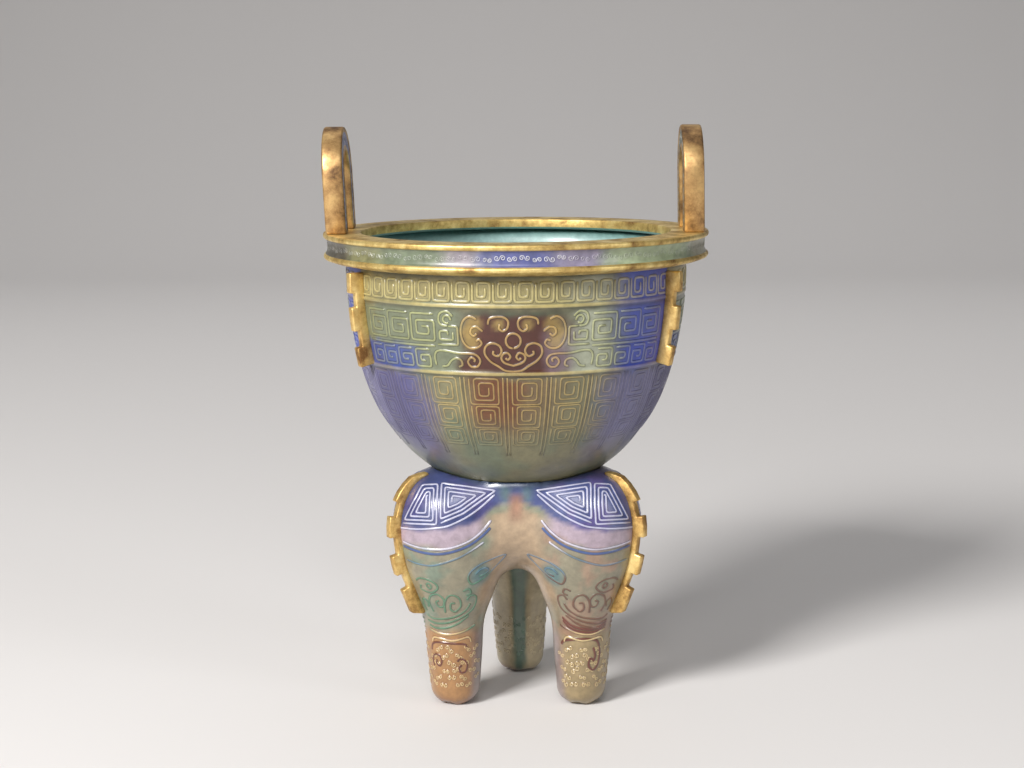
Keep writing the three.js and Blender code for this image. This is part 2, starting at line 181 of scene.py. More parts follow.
wall_span = wall_straight_from - waist_height
wall_line = spline_through(wall_shares, 12)
wall_heights = waist_height + wall_line[:, 0] * wall_span
wall_radii = wall_line[:, 1] * mouth_radius


def wall_radius(height):
    return np.interp(height, wall_heights, wall_radii)


def wall_spot(azimuth, height):
    """A point on the bowl's outside and its normal, for angles in radians from the front."""
    reach = 0.5
    rise = (wall_radius(height + reach) - wall_radius(height - reach)) / (2 * reach)
    radius = wall_radius(height)
    lean = 1 / np.sqrt(1 + rise**2)
    sine, cosine = np.sin(azimuth), np.cos(azimuth)
    point = np.stack([radius * sine, -radius * cosine, height], axis=-1)
    normal = np.stack([lean * sine, -lean * cosine, -rise * lean], axis=-1)
    return point, normal


def beads_at(height):
    bead = 0.0
    for centre in (lower_bead, upper_bead):
        away = (height - centre) / bead_half
        bead += bead_rise * math.sqrt(max(0.0, 1 - away**2))
    return bead


def enamel_tone(red, green, blue):
    """A fired enamel colour, seen as red, green and blue out of 255, in linear light."""
    tone = np.array([red, green, blue], float) / 255
    return np.where(tone <= 0.04045, tone / 12.92, ((tone + 0.055) / 1.055) ** 2.4)


def soft_step(value, start, end):
    share = np.clip((value - start) / (end - start), 0, 1)
    return share * share * (3 - 2 * share)


def laid_over(ground, tone, cover):
    return ground + (tone - ground) * np.clip(cover, 0, 1)[..., None]


def clouds(points, size, seed):
    """Soft clouding from -1 to 1 over points in millimetres."""
    shift = Vector((seed * 7.3, seed * 3.1, seed * 5.7))
    return np.array([noise.fractal(Vector(p) / size + shift, 0.8, 2.0, 3) for p in points])


def glazed(ground, layers):
    """A ground, or one colour for all, with each layer's colour laid over it in turn."""
    for seen, cover in layers:
        ground = laid_over(ground, enamel_tone(*seen), cover)
    return ground


def azimuth_of(points):
    """Radians round the vessel from its front, towards the right-hand handle."""
    return np.arctan2(points[:, 0], -points[:, 1])


def within_third(points):
    """Degrees from the middle of the nearest of the three like faces, from -60 to 60."""
    return (np.degrees(azimuth_of(points)) + 60) % 120 - 60


def near_spot(points, centre, reach):
    """How close each point lies to a spot, from 1 at the spot to 0 at the reach."""
    return 1 - soft_step(np.linalg.norm(points - np.array(centre), axis=1), 0.4 * reach, reach)


face_middles = (0, 120, -120)
mask_leaves = [(12.6, 138.6, 3.8), (13.6, 132.8, 3.4), (4.6, 138.6, 2.6), (14.8, 136, 3.2)]


def bowl_glaze(points):
    height = points[:, 2] + 1.4 * clouds(points, 9, 1)
    turn = within_third(points) + 4 * clouds(points, 14, 2)
    side = np.abs(turn)
    below = 1 - soft_step(height, 119, 123)
    mauve = soft_step(side, 25, 44) * soft_step(height, 84, 102)
    warm = soft_step(turn, -19, -12) * (1 - 0.45 * soft_step(turn, 0, 4)) * (1 - soft_step(turn, 7, 24))
    band = soft_step(height, 121, 123) * (1 - soft_step(height, 142.5, 144))
    # Painted highlight: a paler strip on the band to the right of each mask's middle stands for a soft
    # lamp's reflection.
    painted_sheen = band * soft_step(turn, 15, 22) * (1 - soft_step(turn, 28, 38))
    heart = band * (1 - soft_step(side, 14 - 2.5 * soft_step(height, 136, 141), 20))
    grey = band * soft_step(turn, 9, 14) * (1 - soft_step(turn, 17, 22)) * (1 - soft_step(height, 134, 139))
    low_row = band * (1 - soft_step(height, 130, 132))
    top = soft_step(height, 144, 147)
    flank = soft_step(turn, 30, 44) * soft_step(height, 119, 124)
    layers = [
        ((98, 106, 84), soft_step(clouds(points, 22, 3), -0.1, 0.5)),
        ((100, 99, 136), below * mauve),
        # Painted shade: the violet flanks are darker on their left side.
        ((72, 70, 112), below * mauve * soft_step(-turn, 20, 34)),
        ((94, 54, 26), below * warm * soft_step(height, 96, 110)),
        ((104, 110, 88), band),
        ((152, 156, 136), painted_sheen),
        ((66, 29, 18), heart),
        ((120, 104, 116), 0.6 * grey),
        ((66, 74, 56), heart * soft_step(height, 140, 143)),
        ((48, 68, 148), low_row * soft_step(side, 30, 42)),
        # Painted shade: the low blue row is darker and greyer on the left side.
        ((64, 76, 118), 0.7 * low_row * soft_step(-turn, 28, 40)),
        ((136, 127, 86), top),
        ((144, 144, 122), top * soft_step(turn, 12, 22)),
        # Painted shade: a darker band on the wall just under the collar's lower lip.
        ((76, 76, 50), soft_step(height, 152.4, 154)),
        ((58, 74, 168), 0.85 * flank),
    ]
    for degrees, level, reach in mask_leaves:
        for way in (-1, 1):
            for middle in face_middles:
                spot, _ = wall_spot(math.radians(middle + way * degrees), level)
                layers.append(((150, 128, 70), 0.6 * near_spot(points, spot, reach)))
    for centre in (lower_bead, upper_bead):
        on_bead = 1 - soft_step(np.abs(points[:, 2] - centre - 0.1), 0.3, 0.7)
        # Painted shade: a darker line just under each bead.
        bead_shade = 1 - soft_step(np.abs(points[:, 2] - centre + 1.0), 0.3, 0.8)
        layers.append(((186, 168, 106), 0.6 * on_bead * (1 - 0.6 * soft_step(side, 26, 44))))
        layers.append(((58, 54, 38), 0.45 * bead_shade))
    outer = glazed(enamel_tone(114, 110, 82), layers) * (1 + 0.14 * clouds(points, 5, 4))[:, None]
    axis_distance = np.hypot(points[:, 0], points[:, 1])
    inside = axis_distance < wall_radius(points[:, 2]) - 0.8 * sheet
    inside |= (points[:, 2] > waist_height - 4) & (axis_distance < waist_radius * 0.93)
    # Painted shade: the inside turns dark teal in its top few millimetres, under the collar's overhang.
    neck_shade = soft_step(points[:, 2] + 0.6 * clouds(points, 12, 5), 157.5, 160.5)
    inner = glazed(enamel_tone(176, 204, 202), [((70, 112, 106), neck_shade)])
    return np.where(inside[:, None], inner, outer)


def line_tones(glaze, light, cover, dark=0.62):
    """Tones for raised lines: crests brought towards a light tone, sunk edges darker."""
    def tones(points):
        ground = glaze(points)
        return laid_over(ground, light, cover(points)), ground * dark
    return tones


def finish_nodes(name):
    """A new material, its node tree, its surface shader and the place on the object."""
    finish = bpy.data.materials.new(name)
    finish.use_nodes = True
    tree = finish.node_tree
    place = tree.nodes.new("ShaderNodeTexCoord").outputs["Object"]
    return finish, tree, tree.nodes["Principled BSDF"], place


def pattern(tree, kind, place, **settings):
    """A pattern over the object's own coordinates, with its inputs set by name."""
    node = tree.nodes.new(f"ShaderNodeTex{kind}")
    for name, value in settings.items():
        node.inputs[name].default_value = value
    tree.links.new(place, node.inputs["Vector"])
    return node


def remapped(tree, value, span, target):
    """A value, with one span of it stretched on to another span."""
    node = tree.nodes.new("ShaderNodeMapRange")
    for name, level in zip(("From Min", "From Max", "To Min", "To Max"), (*span, *target)):
        node.inputs[name].default_value = level
    tree.links.new(value, node.inputs["Value"])
    return node.outputs["Result"]


def roughened(tree, shader, height, strength):
    """Lets a pattern raise and sink the surface by up to 0.2 mm."""
    bump = tree.nodes.new("ShaderNodeBump")
    bump.inputs["Strength"].default_value = strength
    bump.inputs["Distance"].default_value = 0.2 * mm
    tree.links.new(height, bump.inputs["Height"])
    tree.links.new(bump.outputs["Normal"], shader.inputs["Normal"])


def enamel_finish(name, coat=0.35):
    """Fired enamel: the painted colour, clouded, with small pits, under a thin gloss."""
    finish, tree, shader, place = finish_nodes(name)
    painted = tree.nodes.new("ShaderNodeAttribute")
    painted.attribute_name = "glaze"
    mottle = pattern(tree, "Noise", place, Scale=420, Detail=5, Roughness=0.65).outputs["Fac"]
    pits = pattern(tree, "Voronoi", place, Scale=700).outputs["Distance"]
    tint = tree.nodes.new("ShaderNodeMix")
    tint.data_type = "RGBA"
    tint.blend_type = "MULTIPLY"
    tint.inputs["Factor"].default_value = 1
    tree.links.new(painted.outputs["Color"], tint.inputs["A"])
    tree.links.new(remapped(tree, mottle, (0.3, 0.7), (0.82, 1.15)), tint.inputs["B"])
    tree.links.new(tint.outputs["Result"], shader.inputs["Base Color"])
    height = tree.nodes.new("ShaderNodeMath")
    height.operation = "MULTIPLY_ADD"
    height.inputs[1].default_value = 0.35
    tree.links.new(remapped(tree, pits, (0.05, 0.35), (0, 1)), height.inputs[0])
    tree.links.new(mottle, height.inputs[2])
    roughened(tree, shader, height.outputs["Value"], 0.35)
    tree.links.new(remapped(tree, mottle, (0.3, 0.7), (0.3, 0.48)), shader.inputs["Roughness"])
    shader.inputs["Specular IOR Level"].default_value = 0.5
    shader.inputs["Coat Weight"].default_value = coat
    shader.inputs["Coat Roughness"].default_value = 0.22
    return finish


def vessel_piece(name, mesh, finishes):
    """Turns a bmesh into a smooth-faced piece of the vessel that rides on its one body."""
    for face in mesh.faces:
        face.smooth = True
    data = bpy.data.meshes.new(name)
    mesh.to_mesh(data)
    mesh.free()
    for finish in finishes:
        data.materials.append(finish)
    piece = bpy.data.objects.new(name, data)
    bpy.context.scene.collection.objects.link(piece)
    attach(piece, "root")
    return piece


def paint(piece, tones):
    layer = piece.data.color_attributes.new("glaze", "FLOAT_COLOR", "POINT")
    colours = np.hstack([np.clip(tones, 0, 1), np.ones((len(tones), 1))])
    layer.data.foreach_set("color", colours.astype(np.float32).ravel())


def points_of(piece):
    places = np.zeros(len(piece.data.vertices) * 3, np.float32)
    piece.data.vertices.foreach_get("co", places)
    return places.reshape(-1, 3).astype(float) / mm


def turned(profile, steps):
    """A closed bmesh turned round the vessel's axis from points given as radius and height."""
    mesh = bmesh.new()
    line = [mesh.verts.new((radius * mm, 0, height * mm)) for radius, height in profile]
    edges = [mesh.edges.new(pair) for pair in zip(line, line[1:])]
    bmesh.ops.spin(
        mesh, geom=line + edges, cent=(0, 0, 0), axis=(0, 0, 1),
        angle=2 * math.pi, steps=steps, use_merge=True,
    )
    bmesh.ops.remove_doubles(mesh, verts=mesh.verts, dist=1e-3 * mm)
    bmesh.ops.recalc_face_normals(mesh, faces=mesh.faces)
    return mesh


outer_rows = np.concatenate([
    np.linspace(waist_height, wall_straight_from, 62),
    np.linspace(wall_straight_from, wall_top, 5)[1:],
    np.linspace(lower_bead - bead_half, lower_bead + bead_half, 7),
    np.linspace(upper_bead - bead_half, upper_bead + bead_half, 7),
])
floor_rows = 12
bowl_profile = []
for row in range(floor_rows):
    share = row / floor_rows
    bowl_profile.append((share * waist_radius, waist_height - floor_drop * (1 - share**2.4)))
for row in np.unique(outer_rows):
    spot, normal = wall_spot(0.0, row)
    proud = beads_at(row)
    bowl_profile.append((-spot[1] - normal[1] * proud, row + normal[2] * proud))
for row in np.linspace(wall_straight_from, waist_height, 40):
    spot, normal = wall_spot(0.0, row)
    if row == wall_straight_from:
        bowl_profile.append((mouth_radius - sheet, wall_top))
    bowl_profile.append((-spot[1] + normal[1] * sheet, row - normal[2] * sheet))
for row in range(floor_rows - 1, -1, -1):
    share = row / floor_rows
    height = waist_height + sheet - floor_drop * (1 - share**2.4)
    bowl_profile.append((share * waist_radius * 0.92, height))
bowl_finish = enamel_finish("bowl_enamel")
bowl_mesh = turned(bowl_profile, bowl_turns)
bowl = vessel_piece("steamer_bowl_enamelled", bowl_mesh, [bowl_finish])
paint(bowl, bowl_glaze(points_of(bowl)))
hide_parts("steamer_bowl")

# Meander band. Fine wires under the bowl's neck, fixed on the copper before enamelling
# and left proud of it: square spirals side by side, eighteen to each third of the turn.
meander_low = 145.9
meander_high = 152.1
meander_count = 54
meander_wire = (0.42, 0.2)
line_end = 0.12
line_section = [
    (-1.5, -0.3), (-1.3, 0.12), (-1.0, 0.2), (-0.72, 1.0),
    (0.72, 1.0), (1.0, 0.2), (1.3, 0.12), (1.5, -0.3),
]
crest_rows = (3, 4)


def rounded(corners, radius):
    """The same line with its corners eased by a small radius."""
    corners = [np.array(corner, float) for corner in corners]
    line = [corners[0]]
    for before, corner, after in zip(corners, corners[1:], corners[2:]):
        back, on = before - corner, after - corner
        ease = min(radius, 0.45 * np.linalg.norm(back), 0.45 * np.linalg.norm(on))
        start = corner + back / np.linalg.norm(back) * ease
        end = corner + on / np.linalg.norm(on) * ease
        line += [start, (start + 2 * corner + end) / 4, end]
    line.append(corners[-1])
    return line


def finely(line, spacing):
    """The same line with extra points, so that no step is longer than the spacing."""
    points = [np.array(line[0], float)]
    for corner in line[1:]:
        start = points[-1]
        steps = max(1, math.ceil(np.linalg.norm(np.array(corner) - start) / spacing))
        for step in range(1, steps + 1):
            points.append(start + (np.array(corner) - start) * step / steps)
    return np.array(points)


def square_spiral(left, low, right, high, pitch, turns):
    """A squared spiral that starts at its top left corner and runs down, across, up and in."""
    corners = [(left, high)]
    for turn in range(turns):
        inset = turn * pitch
        corners += [
            (left + inset, low + inset), (right - inset, low + inset),
            (right - inset, high - inset), (left + inset + pitch, high - inset),
        ]
    return corners


def ends_doubled(rows):
    return np.vstack([rows[:1], rows, rows[-1:]])


def raised_line(mesh, layer, spots, normals, wire, crest, edge):
    """One raised line of paint over a wire, closed all round, with both ends rounded off."""
    half_width, rise = wire
    steps = np.linalg.norm(np.diff(spots, axis=0), axis=1)
    keep = np.concatenate([[True], steps > 1e-4])
    spots, normals, crest, edge = spots[keep], normals[keep], crest[keep], edge[keep]
    ahead = np.diff(spots, axis=0)
    ahead /= np.linalg.norm(ahead, axis=1)[:, None]
    before = np.vstack([ahead[:1], ahead])
    after = np.vstack([ahead, ahead[-1:]])
    way = before + after
    way /= np.maximum(np.linalg.norm(way, axis=1), 1e-6)[:, None]
    mitre = 1 / np.clip(np.sum(way * after, axis=1), 0.72, 1)
    side = np.cross(normals, way) * mitre[:, None]
    start, end = spots[0] + line_end * ahead[0], spots[-1] - line_end * ahead[-1]
    spots = np.vstack([spots[:1], start, spots[1:-1], end, spots[-1:]])
    normals, side, crest, edge = [ends_doubled(rows) for rows in (normals, side, crest, edge)]
    swell = np.concatenate([[0, 0.75], np.ones(len(spots) - 4), [0.75, 0]])
    section = line_section + line_section[:1]
    grid = bmesh.ops.create_grid(mesh, x_segments=len(spots) - 1, y_segments=len(section) - 1, size=1)
    verts = iter(grid["verts"])
    for row, (across, up) in enumerate(section):
        places = spots + side * (across * half_width * swell)[:, None]
        places += normals * (up * rise * swell)[:, None]
        tones = crest if row in crest_rows else edge
        for place, tone in zip(places * mm, tones):
            vert = next(verts)
            vert.co = place
            vert[layer] = (*tone, 1)


def relief(name, lines, spot_at, tones_at, wire, finish):
    """A piece of raised lines, each a row of points in the flat that spot_at lays on a wall.

    The wire gives half a line's width and how far it stands out.
    """
    mesh = bmesh.new()
    layer = mesh.verts.layers.float_color.new("glaze")
    for line in lines:
        spots, normals = spot_at(np.array(line))
        crest, edge = tones_at(spots)
        raised_line(mesh, layer, spots, normals, wire, crest, edge)
    bmesh.ops.remove_doubles(mesh, verts=mesh.verts, dist=1e-4 * mm)
    bmesh.ops.recalc_face_normals(mesh, faces=mesh.faces)
    return vessel_piece(name, mesh, [finish])


def on_wall(line):
    """Lays a line, given as millimetres round the mouth and height, on the bowl's outside."""
    return wall_spot(line[:, 0] / mouth_radius, line[:, 1])


def even_cover(cover):
    return lambda points: np.full(len(points), cover)


meander_pitch = 2 * math.pi * mouth_radius / meander_count
meander_inset = 0.55
meander_lines = []
for unit in range(meander_count):
    left = unit * meander_pitch + meander_inset
    right = left + meander_pitch - 2 * meander_inset
    spiral = square_spiral(left, meander_low, right, meander_high, 1.55, 2)
    meander_lines.append(finely(rounded(spiral[:-1], 0.9), 2.0))
meander_tones = line_tones(bowl_glaze, enamel_tone(186, 174, 118), even_cover(0.45))
relief(
    "bowl_meander_band", meander_lines, on_wall, meander_tones,
    meander_wire, bowl_finish,
)

# Mask band. Three like masks of curling wire round the bowl's widest part, each with a
# round boss, ruyi curls, brows and squared horns, the lines lighter than the ground.
band_middle = 133.0
mask_wire = (0.4, 0.2)
boss_radius = 2.45
mask_curves = [
    [(0, -9.8), (-2.9, -9.4), (-5.1, -8.0), (-7.7, -6.4), (-9.5, -4.0), (-9.2, -1.6), (-7.1, -0.4),
     (-4.7, -1.1), (-3.9, -3.0), (-5.0, -4.6), (-6.7, -4.0), (-6.5, -2.8)],
    [(0, -7.8), (-2.9, -6.9), (-4.0, -5.4), (-3.4, -4.0), (-1.9, -3.6), (-1.0, -4.8), (-1.8, -5.8),
     (-2.7, -5.2)],
    [(-8.2, 5.6), (-7.7, 7.5), (-5.5, 8.2), (-2.9, 8.0), (-1.6, 6.7), (-1.9, 4.6), (-3.3, 3.6),
     (-4.6, 4.5), (-4.2, 5.9)],
    [(-11.9, 7.3), (-14.2, 8.2), (-16.4, 6.8), (-17.4, 3.5), (-16.8, 0.1), (-14.8, -2.0), (-12.2, -2.0),
     (-10.5, -0.6), (-11.2, 0.7), (-12.4, 0.2)],
    [(-9.9, 3.4), (-11.9, 4.8), (-13.6, 4.4), (-14.1, 2.9), (-13.0, 1.9), (-11.9, 2.8)],
    [(-20.6, 6.6), (-21.3, 8.0), (-22.7, 8.2), (-23.5, 7.0), (-22.6, 5.8), (-21.4, 6.0)],
    [(-19.9, 8.0), (-21.9, 9.6), (-24.4, 9.0), (-25.1, 6.8), (-24.2, 5.2), (-21.9, 4.8)],
    [(-27.3, -8.4), (-27.6, -5.3), (-26.5, -3.6), (-23.8, -3.3), (-18.8, -4.0), (-14.7, -4.0),
     (-12.3, -4.5), (-11.2, -6.3), (-12.3, -8.2), (-14.4, -8.3), (-15.5, -6.7), (-14.4, -5.3),
     (-13.1, -5.8), (-13.4, -6.8)],
    [(-25.2, -8.6), (-23.0, -8.2), (-21.6, -6.6), (-19.9, -5.7), (-18.0, -6.2), (-17.6, -7.8),
     (-19.0, -8.5)],
]
mask_squares = [
    [(-21.9, 4.8), (-18.5, 4.8), (-18.5, -1.3), (-26.0, -1.3)],
    [(-20.2, 3.0), (-20.2, 0.3), (-25.0, 0.3), (-25.0, 3.2), (-22.0, 3.2), (-22.0, 1.8)],
    [(-26.9, -1.9), (-57.5, -1.9)],
]
upper_row = (-0.2, 8.6)
upper_boxes = [(-26.9, -36.0), (-37.4, -46.5), (-47.9, -57.0)]
lower_row = (-9.0, -3.2)
lower_boxes = [(-29.4, -35.2), (-36.8, -43.0), (-44.6, -50.4), (-51.8, -57.2)]


def wound_box(right, left, low, high, drop, inset):
    """A squared spiral that starts at its top right corner and runs across, down and in."""
    return [
        (right, high), (left, high), (left, low), (right, low), (right, high - drop),
        (left + inset, high - drop), (left + inset, low + inset), (right - inset, low + inset),
    ]


def mask_half():
    lines = [finely(spline_through(curve, 5), 2.0) for curve in mask_curves]
    lines += [finely(rounded(corners, 0.7), 2.0) for corners in mask_squares]
    low, high = upper_row
    for right, left in upper_boxes:
        spiral = wound_box(right, left, low, high, 2.2, 2.1)
        spiral += [(right - 2.1, high - 4.2), (left + 4.2, high - 4.2)]
        lines.append(finely(rounded(spiral, 0.8), 2.0))
    for right, left in lower_boxes:
        lines.append(finely(rounded(wound_box(right, left, *lower_row, 1.9, 1.9), 0.8), 2.0))
    return lines


def mask_tones(points):
    turn = np.abs(within_third(points))
    ground = bowl_glaze(points)
    outer = soft_step(turn, 15, 21)
    crest = glazed(ground, [
        ((190, 158, 98), 0.52 * (1 - outer)),
        ((172, 174, 116), outer * (0.5 - 0.28 * soft_step(turn, 30, 44))),
    ])
    return crest, ground * 0.5


boss_turn = np.radians(np.arange(-90, 271, 15))
boss = np.stack([boss_radius * np.cos(boss_turn), 0.4 + boss_radius * np.sin(boss_turn)], axis=1)
mask_lines = [boss]
for line in mask_half():
    mirrored = line[::-1] * (-1, 1)
    joined = line[0][0] == 0
    mask_lines += [np.vstack([mirrored[:-1], line])] if joined else [line, mirrored]
for name, middle in zip(("front", "back_right", "back_left"), face_middles):
    around = (math.radians(middle) * mouth_radius, band_middle)
    lines = [line + around for line in mask_lines]
    relief(f"bowl_mask_{name}", lines, on_wall, mask_tones, mask_wire, bowl_finish)

# Hanging blades. Twenty-four tapering panels below the masks, parted by double lines, with
# squared spirals one under the other that get smaller and fainter towards the waist.
blade_count = 24
blade_shift = -2.9
blade_angle = 360 / blade_count
blade_half_angle = 5.1
blade_line_steps = 14
blade_rows = [(120.7, 111.9), (111.2, 103.6), (103.0, 97.2)]
blade_wire = (0.3, 0.13)
split_wire = (0.22, 0.07)


def blade_cover(points):
    turn = np.abs(within_third(points))
    faint = 1 - soft_step(points[:, 2], 92, 112)
    return 0.42 * (1 - 0.9 * faint) * (1 - 0.85 * soft_step(turn, 24, 42))


def on_blade(line):
    """Lays a line, given as degrees round the bowl and height, on the bowl's outside."""
    return wall_spot(np.radians(line[:, 0]), line[:, 1])


def plumb_line(turn, high, low):
    """A line straight down the bowl at one turn, in degrees, between two heights."""
    heights = np.linspace(high, low, blade_line_steps)
    return np.stack([np.full(blade_line_steps, turn), heights], axis=1)


blade_lines = []
split_lines = []
blade_box = np.array(rounded(square_spiral(0, 0, 1, 1, 0.165, 3)[:-1], 0.1))
for blade in range(blade_count):
    left = blade_shift + blade_angle * blade
    blade_lines += [plumb_line(left + away, 121.2, 93) for away in (-0.75, 0.75)]
    split_lines.append(plumb_line(left, 121.0, 96))
    turns = left + blade_angle / 2 + blade_half_angle * (2 * blade_box[:, 0] - 1)
    for high, low in blade_rows:
        line = np.stack([turns, low + (high - low) * blade_box[:, 1]], axis=1)
        blade_lines.append(finely(line, 2.4))
blade_tones = line_tones(bowl_glaze, enamel_tone(184, 158, 92), blade_cover, 0.7)
relief("bowl_blade_band", blade_lines, on_blade, blade_tones, blade_wire, bowl_finish)
split_tones = line_tones(bowl_glaze, enamel_tone(64, 42, 28), blade_cover, 0.8)
relief("bowl_blade_splits", split_lines, on_blade, split_tones, split_wire, bowl_finish)

# Rim collar. A cast and gilded ring drawn over the bowl's edge: a flat top, two rounded
# lips and a shallow enamelled band between them, with small light scrolls.
collar_radius = 66.3
collar_inner_radius = 53.5
collar_top = rim_height
collar_bottom = rim_height - 9.0
collar_plate = 3.7
band_floor = 64.8
gilt_depth = 2.9
lower_lip = [(-2.6, -0.5), (-1.2, 0), (-0.5, 0.25), (-0.12, 0.7), (-0.1, 1.2), (-0.3, 1.65)]
band_hollow = [
    (0.75, 2.0), (0.45, 2.3), (0.15, 3.1), (0, 4.6), (0.15, 6.0), (0.45, 6.85), (0.8, 7.15),
]
upper_lip = [(-0.25, 7.4), (-0.02, 7.8), (0, 8.45), (-0.2, 8.85)]
collar_profile = [
    (collar_inner_radius, collar_top - collar_plate + 0.4),
    (collar_inner_radius + 0.4, collar_top - collar_plate),
    (mouth_radius + 0.05, collar_top - collar_plate),
    (mouth_radius + 0.05, collar_bottom - 1.3),
    (mouth_radius + 0.5, collar_bottom - 1.45),
    *[(collar_radius + out, collar_bottom + up) for out, up in lower_lip],
    *[(band_floor + out, collar_bottom + up) for out, up in band_hollow],
    *[(collar_radius + out, collar_bottom + up) for out, up in upper_lip],
    (collar_radius - 0.5, collar_top),
    (collar_radius - 5.0, collar_top - 0.05),
    (collar_inner_radius + 3.0, collar_top - 0.05),
    (collar_inner_radius + 0.5, collar_top),
    (collar_inner_radius + 0.1, collar_top - 0.15),
    (collar_inner_radius, collar_top - 0.5),
    (collar_inner_radius, collar_top - gilt_depth),
    (collar_inner_radius, collar_top - collar_plate + 0.4),
]
band_middle_height = collar_bottom + 4.6
band_rows = (collar_bottom + 2.1, collar_bottom + 7.1)
scroll_wire = (0.17, 0.13)
# Tinted patches round the collar's band, as degrees, half width and tone; the very dark brown one at -80
# degrees is a painted reflection.
collar_patches_and_reflection = [
    (-80, 26, (46, 32, 20)), (-46, 10, (112, 108, 72)), (-30, 12, (98, 108, 86)),
    (-14, 6, (136, 126, 138)), (3, 11, (72, 74, 134)), (20, 8, (126, 116, 142)),
    (44, 14, (154, 166, 132)), (78, 14, (134, 130, 110)), (120, 18, (92, 100, 160)),
    (-130, 18, (120, 112, 150)), (168, 18, (110, 138, 116)),
]


def gilt_finish(name, dark, middle_tone, bright):
    """Fire gilding worn on cast metal: bright gold, browner where it is rubbed or soiled."""
    finish, tree, shader, place = finish_nodes(name)
    wear = pattern(tree, "Noise", place, Scale=110, Detail=6, Roughness=0.7).outputs["Fac"]
    grain = pattern(tree, "Noise", place, Scale=900, Detail=3).outputs["Fac"]
    tones = tree.nodes.new("ShaderNodeValToRGB")
    stops = tones.color_ramp.elements
    stops[0].position = 0.34
    stops[0].color = (*enamel_tone(*dark), 1)
    stops[1].position = 0.62
    stops[1].color = (*enamel_tone(*bright), 1)
    stops.new(0.48).color = (*enamel_tone(*middle_tone), 1)
    tree.links.new(wear, tones.inputs["Fac"])
    tree.links.new(tones.outputs["Color"], shader.inputs["Base Color"])
    tree.links.new(remapped(tree, wear, (0.35, 0.65), (0.55, 0.34)), shader.inputs["Roughness"])
    roughened(tree, shader, grain, 0.3)
    shader.inputs["Metallic"].default_value = 0.72
    return finish


def collar_glaze(points):
    azimuth = np.degrees(azimuth_of(points)) + 4 * clouds(points, 8, 6)
    layers = [((170, 170, 156), 0.8 * soft_step(clouds(points, 2.2, 8), 0.05, 0.4))]
    for centre, half, tone in collar_patches_and_reflection:
        layers.append((tone, 0.85 - 0.85 * soft_step(np.abs(azimuth - centre), half - 5, half + 5)))
    ground = glazed(enamel_tone(116, 128, 108), layers) * (1 + 0.22 * clouds(points, 3, 7))[:, None]
    in_mouth = np.hypot(points[:, 0], points[:, 1]) < mouth_radius
    return np.where(in_mouth[:, None], enamel_tone(84, 118, 108), ground)


gilt = gilt_finish("gilt_mounts", (132, 100, 58), (202, 172, 104), (238, 214, 144))
collar_mesh = turned(collar_profile, 240)
for face in collar_mesh.faces:
    middle = face.calc_center_median() / mm
    radius = math.hypot(middle.x, middle.y)
    on_band = radius > band_floor - 1 and band_rows[0] < middle.z < band_rows[1]
    in_mouth = radius < collar_inner_radius + 4 and middle.z < collar_top - gilt_depth
    face.material_index = int(on_band or in_mouth)
collar_enamel = enamel_finish("collar_enamel")
collar = vessel_piece("rim_collar_gilt", collar_mesh, [gilt, collar_enamel])
paint(collar, collar_glaze(points_of(collar)))
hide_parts("rim_collar")


def on_collar(line):
    """Lays a line, given as degrees round the collar and height, on the collar's band."""
    azimuth = np.radians(line[:, 0])
    bow = ((line[:, 1] - band_middle_height) / 2.4) ** 2 * 0.45
    radius = band_floor + bow
    normal = np.stack([np.sin(azimuth), -np.cos(azimuth), np.zeros(len(line))], axis=1)
    return normal * radius[:, None] + line[:, 1:2] * (0, 0, 1), normal


def scroll_cover(points):
    azimuth = np.abs(np.degrees(azimuth_of(points)) - 3)
    return 0.13 + 0.32 * (1 - soft_step(azimuth, 8, 16))


volute_turn = np.radians(np.linspace(-500, 0, 11))
volute_radius = 0.8
volute_reach = np.linspace(0.14, volute_radius, 11)
volute_across = volute_reach * np.cos(volute_turn) - volute_radius
volute = np.stack([volute_across, volute_reach * np.sin(volute_turn)], axis=1)
volute_pair = spline_through(np.vstack([volute, -volute[-2::-1]]), 2)
scroll_forms = [volute_pair, volute_pair * (1, -1)]
scroll_count = 104
scroll_stretch = math.degrees(1 / band_floor)
scroll_lines = []
for place in range(scroll_count):
    form = scroll_forms[(place * 3 + place // 4) % len(scroll_forms)]
    middle = 360 * place / scroll_count
    wave = 0.4 * math.sin(place * 1.9)
    size = 1.05 + 0.12 * math.sin(place * 2.7)
    curve = form * (scroll_stretch * size, size)
    scroll_lines.append(curve + (middle, band_middle_height + wave))
scroll_tones = line_tones(collar_glaze, enamel_tone(226, 226, 224), scroll_cover, 0.7)
relief(
    "rim_collar_scrolls", scroll_lines, on_collar, scroll_tones,
    scroll_wire, collar_enamel,
)

